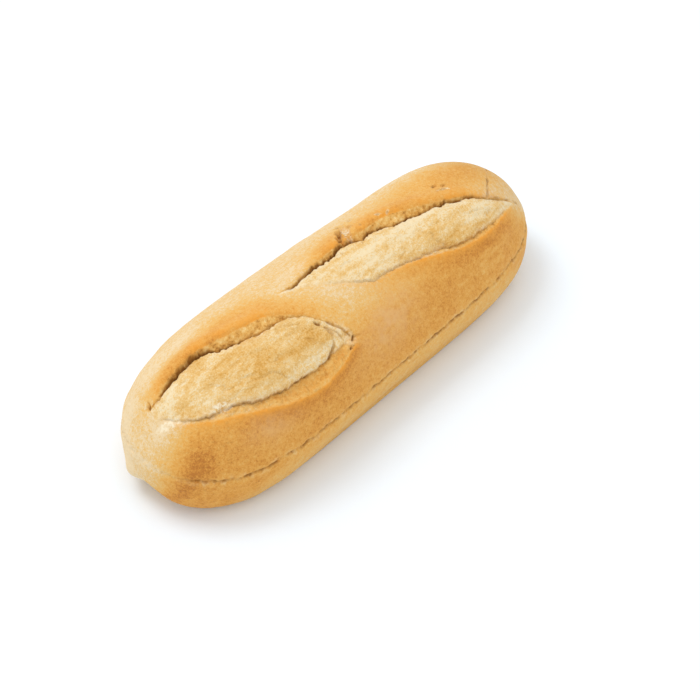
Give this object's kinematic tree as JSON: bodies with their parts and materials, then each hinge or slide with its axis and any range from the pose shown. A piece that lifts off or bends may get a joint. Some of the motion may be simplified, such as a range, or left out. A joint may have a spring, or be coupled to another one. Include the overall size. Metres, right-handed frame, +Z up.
{
  "type": "half baguette",
  "caption": "Short baguette with slashes burst open along the top and a crease along the side, on a flat base.",
  "frame": {"origin": "middle of the footprint, on the surface that the loaf rests on", "axes": "+X along the loaf towards its narrower end, +Z up, -Y the side that the slashes lean to"},
  "size_m": [0.21, 0.0726, 0.0533],
  "materials": {
    "crust": "matt golden crust with pale floury crumb in the slashes"
  },
  "bodies": {
    "root": {"loaf": "crust"}
  },
  "joints": []
}
